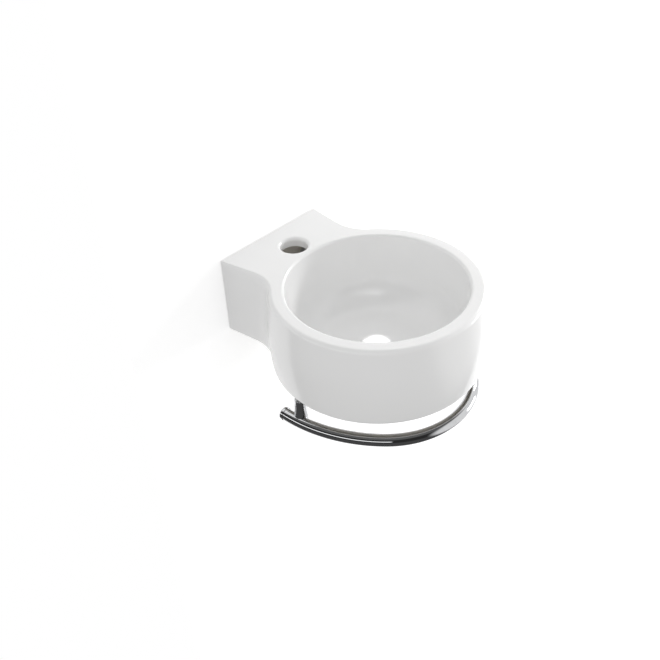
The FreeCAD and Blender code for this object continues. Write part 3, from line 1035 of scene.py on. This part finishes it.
    def bowl_tool(self) -> bpy.types.Object:
        """Make the cutting solid of the bowl and the waste hole.

        Returns:
            The solid.
        """
        end_radius, end_depth = self.wall_end()
        edge, lip, steps = self.bowl_edge, self.waste_edge, self.lip_steps
        mouth = self.bowl_radius - math.tan(self.bowl_draft) * edge
        lip_depth = self.waste_depth - math.tan(self.floor_slope) * lip
        profile: Profile = [(0.0, -OVER), (mouth + edge, -OVER)]
        profile += arc((mouth + edge, edge), edge, 270, 180, steps)
        for step in range(1, steps):
            radius = mouth + (end_radius - mouth) * step / steps
            profile.append((radius, edge + (end_depth - edge) * step / steps))
        first, last = math.degrees(self.bowl_draft), 90.0 - math.degrees(self.floor_slope)
        rounding = self.bottom_rounding
        profile += arc(self.rounding_centre(), rounding, first, last, self.bottom_steps)
        profile += arc((self.waste_radius + lip, lip_depth + lip), lip, 270, 180, steps)
        profile += [(self.waste_radius, self.height + OVER), (0.0, self.height + OVER)]
        frame = upright(0, AXIS_Y, RIM_Z)
        return turned("bowl_tool", flipped(profile), self.bowl_segments, frame)

    def tap_tool(self) -> bpy.types.Object:
        """Make the cutting solid of the tap hole.

        Returns:
            The solid.
        """
        lip = self.tap_edge
        mouth = self.tap_radius + lip
        profile: Profile = [(0.0, -OVER), (mouth, -OVER)]
        profile += arc((mouth, lip), lip, 270, 180, self.tap_lip_steps)
        profile += [(self.tap_radius, self.slab + OVER), (0.0, self.slab + OVER)]
        frame = upright(0, -self.tap_from_wall, RIM_Z)
        return turned("tap_tool", flipped(profile), self.tap_segments, frame)

    def ring_pocket(self) -> bpy.types.Object:
        """Make the hollow between the bowl's shell and the skirt.

        Returns:
            The cutting solid.
        """
        centre = self.rounding_centre()
        outer = self.rim_radius + self.base_growth - self.skirt
        radius = self.bottom_rounding + self.shell
        low = centre[1] + math.sqrt(radius**2 - (self.pocket_floor - centre[0]) ** 2)
        first = math.degrees(math.atan2(low - centre[1], self.pocket_floor - centre[0]))
        high = centre[1] + radius * math.sin(self.bowl_draft)
        side = centre[0] + radius * math.cos(self.bowl_draft)
        top_side = side + math.tan(self.bowl_draft) * (high - self.pocket_top)
        below = self.height + OVER
        profile: Profile = [(self.pocket_floor, below)]
        profile += arc(centre, radius, first, math.degrees(self.bowl_draft), self.pocket_steps)
        profile += [(top_side, self.pocket_top), (outer, self.pocket_top), (outer, below)]
        frame = upright(0, AXIS_Y, RIM_Z)
        return turned("ring_pocket", flipped(profile), self.pocket_segments, frame)

    def ledge_pocket(self) -> bpy.types.Object:
        """Make the hollow under the tap ledge, up to the bowl's back.

        Returns:
            The cutting solid.
        """
        taper = math.tan(self.ledge_taper)
        back_half = self.ledge_half_width - self.skirt - taper * self.back
        front = 0.5 * AXIS_Y
        front_half = self.ledge_half_width - self.skirt + taper * front
        plan = [
            (-back_half, -self.back),
            (back_half, -self.back),
            (front_half, front),
            (-front_half, front),
        ]
        corners = [(x, y, z) for z in (BASE_Z - OVER, RIM_Z - self.slab) for x, y in plan]
        faces = [(0, 1, 2, 3), (4, 5, 6, 7)]
        faces += [(step, (step + 1) % 4, 4 + (step + 1) % 4, 4 + step) for step in range(4)]
        block = mesh_object("ledge_pocket", corners, faces)
        around = rod(self.bowl_radius + self.shell_behind_tap, *self.keep_span)
        frame = upright(0, AXIS_Y, BASE_Z - OVER)
        keep = turned("keep", around, self.pocket_segments, frame)
        return carve(block, [keep], Cut.TAKE)

    def at_posts(self, name: str, profile: Profile, segments: int) -> list[bpy.types.Object]:
        """Turn the same solid at the place of each rail post.

        Args:
            name: The start of the solids' names.
            profile: Their profile, from the foot up.
            segments: The number of steps round them.

        Returns:
            The left solid and the right one.
        """
        x, y = POST_PLACE
        made = []
        for side_name, side in SIDES:
            frame = upright(side * x, y, BASE_Z)
            made.append(turned(name + side_name, profile, segments, frame))
        return made

    def hollow_tool(self) -> bpy.types.Object:
        """Join the two hollows and leave the post bosses standing in them.

        Returns:
            The cutting solid of the underside.
        """
        hollow = carve(self.ring_pocket(), [self.ledge_pocket()], Cut.ADD)
        boss = rod(self.boss_radius, *self.boss_span)
        return carve(hollow, self.at_posts("boss_", boss, self.small_segments), Cut.TAKE)

    def small_tools(self) -> list[bpy.types.Object]:
        """Make the cutting solids of the fixing holes and the post sockets.

        Returns:
            The four solids.
        """
        hole = rod(self.fixing_radius, -OVER, self.fixing_length)
        socket = rod(self.socket_radius, -OVER, self.socket_depth)
        sockets = self.at_posts("socket_", socket, self.socket_segments)
        tools = []
        for (name, side), made in zip(SIDES, sockets):
            frame = into_wall(side * self.fixing_x, self.fixing_start, 0)
            tools += [turned("fix_" + name, hole, self.small_segments, frame), made]
        return tools

    def pads(self) -> list[bpy.types.Object]:
        """Return the flat pads that the posts bear on."""
        pad = rod(self.pad_radius, 0.0, self.pad_height)
        return self.at_posts("pad_", pad, self.small_segments)

    def in_ring_pocket(self, middle: Vector, normal: Vector) -> bool:
        """Tell whether a face is in the hollow round the bowl.

        Args:
            middle: The face's middle.
            normal: The face's direction.

        Returns:
            Whether the face is bare there.
        """
        radius = math.hypot(middle.x, middle.y - AXIS_Y)
        inner, outer = self.bare_ring_radii
        if radius >= outer or middle.z >= RIM_Z - self.bare_ring_depth:
            return False
        down, out = self.bare_ring_slopes
        outward = Vector((middle.x, middle.y - AXIS_Y, 0)).normalized()
        return normal.z < down or radius > inner or normal.dot(outward) > out

    def in_ledge_pocket(self, middle: Vector) -> bool:
        """Tell whether a face is in the hollow under the ledge.

        Args:
            middle: The face's middle.

        Returns:
            Whether the face is bare there.
        """
        front, back = self.bare_ledge_span
        if math.hypot(middle.x, middle.y - AXIS_Y) <= self.bare_ledge_radius:
            return False
        if not front < middle.y < back or abs(middle.x) >= self.bare_ledge_half:
            return False
        return middle.z < RIM_Z - self.slab + self.bare_ledge_roof

    def bare_clay(self, piece: bpy.types.Object) -> None:
        """Give the faces without glaze the second material slot.

        Args:
            piece: The basin.
        """
        for face in piece.data.polygons:
            middle = face.center
            on_wall = middle.y > -self.bare_at_wall
            on_base = middle.z < BASE_Z + self.bare_at_foot
            hidden = self.in_ring_pocket(middle, face.normal) or self.in_ledge_pocket(middle)
            if on_wall or on_base or hidden:
                face.material_index = 1

    def build(self, finishes: Finishes) -> None:
        """Make the basin and let it stand for its CAD node.

        Args:
            finishes: The finishes of the object.
        """
        body = carve(self.outside(), self.pads(), Cut.ADD)
        body = carve(body, [self.bowl_tool()], Cut.TAKE)
        body = carve(body, [self.tap_tool()], Cut.TAKE)
        body = carve(body, [self.hollow_tool()], Cut.TAKE)
        body = carve(body, self.small_tools(), Cut.TAKE)
        body = smooth(body, self.crisp)
        body.name = "basin_glazed"
        dress(body, finishes.slots[Role.CERAMIC], finishes.clay)
        self.bare_clay(body)
        hand_over(body, "basin")


# ---------------------------------------------------------------------------
# Towel rail
# ---------------------------------------------------------------------------
@dataclass
class TowelRail:
    """The bent chromed bar with its end caps and posts."""

    radius: float = 0.008
    level: float = -0.0984
    front_radius: float = 0.1122
    front_centre_y: float = -0.2004
    half_angle: float = math.radians(49.9)
    side_radius: float = 0.1914

    cap_radius: float = 0.0086
    cap_collar: float = 0.004
    cap_dome: float = 0.0045
    cap_rounding: float = 0.002
    cap_ease: float = 0.0003
    spigot_radius: float = 0.0065
    spigot_length: float = 0.009

    seat_radius: float = 0.0052
    seat_gap: float = 0.001
    seat_drop: float = 0.003
    seat_rounding: float = 0.002
    neck_radius: float = 0.0074
    foot_radius: float = 0.0089
    foot_rounding: float = 0.003
    foot_below: float = 0.003
    flare_share: float = 0.6
    bore_radius: float = 0.0023
    bore_depth: float = 0.014
    saddle_gap: float = 0.00012

    arc_steps: int = 96
    bar_sides: int = 64
    turned_segments: int = 96
    bore_segments: int = 48
    edge_steps: int = 8
    flare_steps: int = 12
    dome_steps: int = 24
    crisp: float = 40.0

    @property
    def side_centre(self) -> Pair:
        """Find the centre of the right side arc.

        Returns:
            Its x and y.
        """
        step = self.side_radius - self.front_radius
        across = -step * math.sin(self.half_angle)
        return across, self.front_centre_y + step * math.cos(self.half_angle)

    def path(self) -> list[Point]:
        """Lay out the bar's centre line.

        Returns:
            The points from the left end to the right end.
        """
        right = []
        steps = self.arc_steps
        for step in range(steps + 1):
            angle = self.half_angle * step / steps
            x = self.front_radius * math.sin(angle)
            y = self.front_centre_y - self.front_radius * math.cos(angle)
            right.append((x, y, self.level))
        centre_x, centre_y = self.side_centre
        for step in range(1, steps + 1):
            angle = self.half_angle + (QUARTER - self.half_angle) * step / steps
            x = centre_x + self.side_radius * math.sin(angle)
            y = centre_y - self.side_radius * math.cos(angle)
            right.append((x, y, self.level))
        left = [(-x, y, z) for x, y, z in reversed(right[1:])]
        return left + right

    def sweep_tree(self, material: bpy.types.Material) -> bpy.types.NodeTree:
        """Build the node tree that sweeps a round bar along a line.

        Args:
            material: The finish that the tree gives the bar.

        Returns:
            The tree, with the line, the bar's radius and its sides as inputs.
        """
        group = bpy.data.node_groups.new("bar_sweep", "GeometryNodeTree")
        for name, way, kind in (
            ("Line", "INPUT", "NodeSocketGeometry"),
            ("Bar radius", "INPUT", "NodeSocketFloat"),
            ("Sides", "INPUT", "NodeSocketInt"),
            ("Bar", "OUTPUT", "NodeSocketGeometry"),
        ):
            group.interface.new_socket(name, in_out=way, socket_type=kind)
        tree = NodeTree(group)
        given = tree.node("NodeGroupInput").outputs
        ring = {"Radius": given["Bar radius"], "Resolution": given["Sides"]}
        circle = tree.node("GeometryNodeCurvePrimitiveCircle", ring).outputs["Curve"]
        along = {"Curve": given["Line"], "Profile Curve": circle, "Fill Caps": True}
        swept = tree.node("GeometryNodeCurveToMesh", along).outputs["Mesh"]
        shaded = tree.node("GeometryNodeSetShadeSmooth", {"Geometry": swept})
        shown = {"Geometry": shaded.outputs["Geometry"]}
        real = tree.node("GeometryNodeRealizeInstances", shown)
        finish = {"Geometry": real.outputs["Geometry"], "Material": material}
        dressed = tree.node("GeometryNodeSetMaterial", finish)
        tree.node("NodeGroupOutput", {"Bar": dressed.outputs["Geometry"]})
        return group

    def bar(self, name: str, radius: float, tree: bpy.types.NodeTree) -> bpy.types.Object:
        """Sweep the bar along its centre line.

        Args:
            name: The name of the new object.
            radius: The bar's radius.
            tree: The node tree that sweeps it.

        Returns:
            The bar as a plain mesh.
        """
        curve = bpy.data.curves.new(name + "_line", "CURVE")
        curve.dimensions = "3D"
        points = self.path()
        line = curve.splines.new("POLY")
        line.points.add(len(points) - 1)
        for slot, point in zip(line.points, points):
            slot.co = (*point, 1.0)
        carrier = link(name, curve)
        modifier = carrier.modifiers.new("sweep", "NODES")
        modifier.node_group = tree
        inputs = tree.interface.items_tree
        modifier[inputs["Bar radius"].identifier] = radius
        modifier[inputs["Sides"].identifier] = self.bar_sides
        return baked(carrier, name)

    def post_profile(self, length: float) -> Profile:
        """Draw a post from its foot to its seat.

        Args:
            length: The post's length.

        Returns:
            The closed profile.
        """
        flare_end = self.radius + self.foot_below
        flare_start = flare_end + self.flare_share * (length - flare_end)
        rounding = self.foot_rounding
        profile: Profile = [(0.0, 0.0)]
        profile += arc((self.foot_radius - rounding, rounding), rounding, 270, 360, self.edge_steps)
        grow = self.foot_radius - self.neck_radius
        for step in range(self.flare_steps + 1):
            share = step / self.flare_steps
            height = flare_end + (flare_start - flare_end) * share
            profile.append((self.neck_radius + grow * (1.0 - share) ** 2, height))
        shoulder = length - self.seat_drop
        profile.append((self.neck_radius, shoulder))
        drop = self.neck_radius - self.seat_radius
        for step in range(1, self.edge_steps + 1):
            angle = QUARTER * step / self.edge_steps
            radius = self.seat_radius + drop * math.cos(angle)
            profile.append((radius, shoulder + self.seat_rounding * math.sin(angle)))
        profile += [(self.seat_radius, length), (0.0, length)]
        return profile

    def cap_profile(self) -> Profile:
        """Draw the domed end cap from its spigot to its crown.

        Returns:
            The closed profile.
        """
        dome = (self.cap_radius**2 + self.cap_dome**2) / (2 * self.cap_dome)
        top = self.cap_collar + self.cap_dome
        profile: Profile = [
            (0.0, -self.spigot_length),
            (self.spigot_radius, -self.spigot_length),
            (self.spigot_radius, 0.0),
            (self.cap_radius - self.cap_ease, 0.0),
            (self.cap_radius, self.cap_ease),
        ]
        rounding = self.cap_rounding
        inner = dome - rounding
        hub_radius = self.cap_radius - rounding
        hub_height = top - dome + math.sqrt(inner**2 - hub_radius**2)
        contact = math.atan2(hub_radius, hub_height - (top - dome))
        turn = 90.0 - math.degrees(contact)
        profile += arc((hub_radius, hub_height), rounding, 0.0, turn, self.edge_steps)
        for step in range(1, self.dome_steps + 1):
            angle = contact * (1.0 - step / self.dome_steps)
            profile.append((dome * math.sin(angle), top - dome + dome * math.cos(angle)))
        profile[-1] = (0.0, top)
        return profile

    def cap(self, name: str, side: int) -> bpy.types.Object:
        """Make the cap on one end of the bar.

        Args:
            name: The name of the side.
            side: -1 on the left and 1 on the right.

        Returns:
            The cap.
        """
        x, y = self.side_centre
        frame = into_wall(side * (x + self.side_radius), y, self.level)
        made = turned("rail_cap_" + name, self.cap_profile(), self.turned_segments, frame)
        return smooth(made, self.crisp)

    def post(self, name: str, side: int, tree: bpy.types.NodeTree) -> bpy.types.Object:
        """Make the post on one side, with its bore and its seat on the bar.

        Args:
            name: The name of the side.
            side: -1 on the left and 1 on the right.
            tree: The node tree that sweeps the bar.

        Returns:
            The post.
        """
        x, y = POST_PLACE
        seat = BASE_Z - self.seat_gap
        foot = self.level - self.foot_below
        frame = upright(side * x, y, foot)
        profile = self.post_profile(seat - foot)
        made = turned("rail_column_" + name, profile, self.turned_segments, frame)
        bore = rod(self.bore_radius, -self.bore_depth, OVER)
        hole = turned("bore_" + name, bore, self.bore_segments, upright(side * x, y, seat))
        saddle = self.bar("saddle_" + name, self.radius + self.saddle_gap, tree)
        return smooth(carve(made, [hole, saddle], Cut.TAKE), self.crisp)

    def build(self, finishes: Finishes) -> None:
        """Make the bar, its caps and its posts.

        Args:
            finishes: The finishes of the object.
        """
        chrome = finishes.slots[Role.CHROME]
        tree = self.sweep_tree(chrome)
        bar = smooth(self.bar("rail_bar", self.radius, tree), self.crisp)
        dress(bar, chrome)
        hand_over(bar, "towel_rail")
        for name, side in SIDES:
            cap = self.cap(name, side)
            dress(cap, chrome)
            hand_over(cap, "rail_end_cap_" + name)
            post = self.post(name, side, tree)
            dress(post, chrome)
            hand_over(post, "rail_post_" + name)


def dress_nodes(finishes: Finishes, nodes: dict[str, bpy.types.Object]) -> None:
    """Give every CAD node the finish of its slot.

    Args:
        finishes: The finishes of the object.
        nodes: The CAD nodes by name.
    """
    for name, node in nodes.items():
        for start, role in CARRIED:
            if name.startswith(start):
                dress(node, finishes.slots[role])
                LOG.info("node %s: %s", name, role.value)
                break


# ---------------------------------------------------------------------------
# Studio
# ---------------------------------------------------------------------------
@dataclass(frozen=True)
class Lamp:
    """A soft rectangular lamp: its place, target, size, power and spread."""

    name: str
    place: Point
    target: Point
    width: float
    height: float
    power: float
    spread: float = math.radians(180.0)

    def build(self) -> None:
        """Hang the lamp and turn it to its target."""
        data = bpy.data.lights.new(self.name, "AREA")
        data.shape = "RECTANGLE"
        data.size = self.width
        data.size_y = self.height
        data.energy = self.power
        data.spread = self.spread
        way = Vector(self.target) - Vector(self.place)
        turn = way.to_track_quat("-Z", "Y").to_matrix().to_4x4()
        link(self.name, data).matrix_world = Matrix.Translation(self.place) @ turn


@dataclass(frozen=True)
class Room:
    """Light of the room, and what the chrome mirrors of it.

    Paint and glaze get an even light, weaker from straight below and from the
    lamps' side. Metal mirrors a dark room on the left, with one bright strip.
    """

    even: float = 0.74
    from_floor: Fade = Fade(0.10, -0.10, 0.08)
    from_below: Fade = Fade(-0.45, -0.70, 0.52)
    lamp_side: Fade = Fade(0.40, 0.95, 0.30)
    across: Pair = (0.70, 0.71)
    towards: Pair = (0.72, 0.70)
    dark_left: Pair = (0.80, 0.62)
    dark_near: Pair = (-0.45, -0.20)
    darkness: float = 0.97
    haze_above: Fade = Fade(0.55, 0.75, 0.12)
    haze_below: Fade = Fade(-0.05, -0.25, 0.05)
    strip_foot: Pair = (0.07, 0.12)
    strip_head: Pair = (0.30, 0.24)
    strip_end: Pair = (0.05, 0.0)
    strip_light: float = 0.7

    def strength(self, tree: NodeTree) -> Value:
        """Work out the light that comes from each direction.

        Args:
            tree: The world's tree.

        Returns:
            The light's strength, which is 1 for white.
        """
        x, y, z = tree.axes()
        mirrored = tree.ray(Ray.MIRROR)
        across = x * self.across[0] - y * self.across[1]
        towards = x * -self.towards[0] - y * self.towards[1]
        open_side = across.ramp(*self.dark_left) * towards.ramp(*self.dark_near)
        strip = z.ramp(*self.strip_foot) * z.ramp(*self.strip_head)
        strip = strip * across.ramp(*self.strip_end)
        haze = z.fade(self.haze_above) + z.fade(self.haze_below)
        dark = mirrored * open_side * (1.0 - strip) * (self.darkness - haze)
        soft = self.even + z.fade(self.from_floor) - z.fade(self.from_below)
        soft = soft - x.fade(self.lamp_side)
        strength = (tree.seen() * (1.0 - soft) + soft) * (1.0 - dark)
        return strength + mirrored * open_side * strip * self.strip_light

    def build(self) -> None:
        """Make the world."""
        world = bpy.data.worlds.new("studio")
        world.use_nodes = True
        tree = NodeTree(world.node_tree)
        light = {"Color": WHITE, "Strength": self.strength(tree)}
        glow = tree.node("ShaderNodeBackground", light)
        tree.node("ShaderNodeOutputWorld", {"Surface": glow.outputs[0]})
        bpy.context.scene.world = world


@dataclass
class Studio:
    """Wall, floor, lamps, room and camera."""

    camera_at: Point = (-0.65154, -0.73704, 0.62806)
    azimuth: float = math.radians(-45.847)
    elevation: float = math.radians(37.374)
    roll: float = math.radians(-2.833)
    lens: float = 46.675
    sensor: float = 36.0
    nearest: float = 0.01

    wall_y: float = 0.0006
    wall_ends: Pair = (-0.24, 3.0)
    wall_heights: Pair = (-0.805, 3.0)
    opening_half: float = 0.083
    opening_inset: float = 0.004
    floor_left: Pair = (0.366, -0.238)
    floor_front: float = -0.62

    lamps: tuple[Lamp, ...] = (
        Lamp("key", (2.77, -0.29, 1.16), (0.0, -0.19, 0.0), 0.50, 0.50, 43.0),
        Lamp("side", (1.31, -1.10, -0.10), (0.0, -0.19, 0.0), 0.50, 0.50, 5.0),
        Lamp(
            name="waste",
            place=(-0.0645, -0.2497, -0.078),
            target=(0.0165, -0.171, -0.057),
            width=0.016,
            height=0.008,
            power=0.006,
            spread=math.radians(30.0),
        ),
    )
    room: Room = Room()

    def plane(self, name: str, corners: Sequence[Point], material: bpy.types.Material) -> None:
        """Add one flat stage surface that faces the object.

        Args:
            name: The surface's name.
            corners: Its four corners in order.
            material: Its finish.
        """
        made = mesh_object(name, corners, [(0, 1, 2, 3)])
        face = made.data.polygons[0]
        if face.normal.dot(Vector((0, AXIS_Y, 0)) - face.center) < 0:
            made.data.flip_normals()
        made.data.materials.append(material)

    def stage(self) -> None:
        """Add the wall, open where the ledge covers it, and the floor far below."""
        paint = BackdropFinish().material()
        left, right = self.wall_ends
        low, high = self.wall_heights
        side = self.opening_half
        foot, head = BASE_Z + self.opening_inset, RIM_Z - self.opening_inset
        for name, start, end, base, top in (
            ("wall_left", left, -side, low, high),
            ("wall_right", side, right, low, high),
            ("wall_above", -side, side, head, high),
            ("wall_below", -side, side, low, foot),
        ):
            corners = ((start, base), (end, base), (end, top), (start, top))
            self.plane(name, [(x, self.wall_y, z) for x, z in corners], paint)
        near, far = self.floor_left
        front, back = self.floor_front, self.wall_y
        corners = ((near, front), (right, front), (right, back), (far, back))
        self.plane("floor", [(x, y, low) for x, y in corners], paint)

    def camera(self) -> None:
        """Add the camera at the measured viewing angle."""
        level = math.cos(self.elevation)
        across, along = math.sin(self.azimuth) * level, -math.cos(self.azimuth) * level
        back = Vector((across, along, math.sin(self.elevation)))
        right = (-back).cross(Vector((0, 0, 1))).normalized()
        up = right.cross(-back)
        turned_right = right * math.cos(self.roll) + up * math.sin(self.roll)
        turned_up = up * math.cos(self.roll) - right * math.sin(self.roll)
        data = bpy.data.cameras.new("view")
        data.lens = self.lens
        data.sensor_width = self.sensor
        data.sensor_fit = "HORIZONTAL"
        data.clip_start = self.nearest
        made = link("view", data)
        rows = list(zip(turned_right, turned_up, back, self.camera_at))
        made.matrix_world = Matrix((*rows, (0, 0, 0, 1)))
        bpy.context.scene.camera = made

    def build(self) -> None:
        """Set up everything around the object."""
        bpy.context.scene.view_settings.view_transform = "Standard"
        self.stage()
        self.camera()
        for lamp in self.lamps:
            lamp.build()
        self.room.build()


def main() -> None:
    """Build every piece in order."""
    logging.basicConfig(level=logging.INFO, format="%(name)s %(message)s")
    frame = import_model()
    finishes = Finishes()
    dress_nodes(finishes, frame["nodes"])
    CeramicBasin().build(finishes)
    TowelRail().build(finishes)
    Studio().build()


if __name__ == "__main__":
    main()
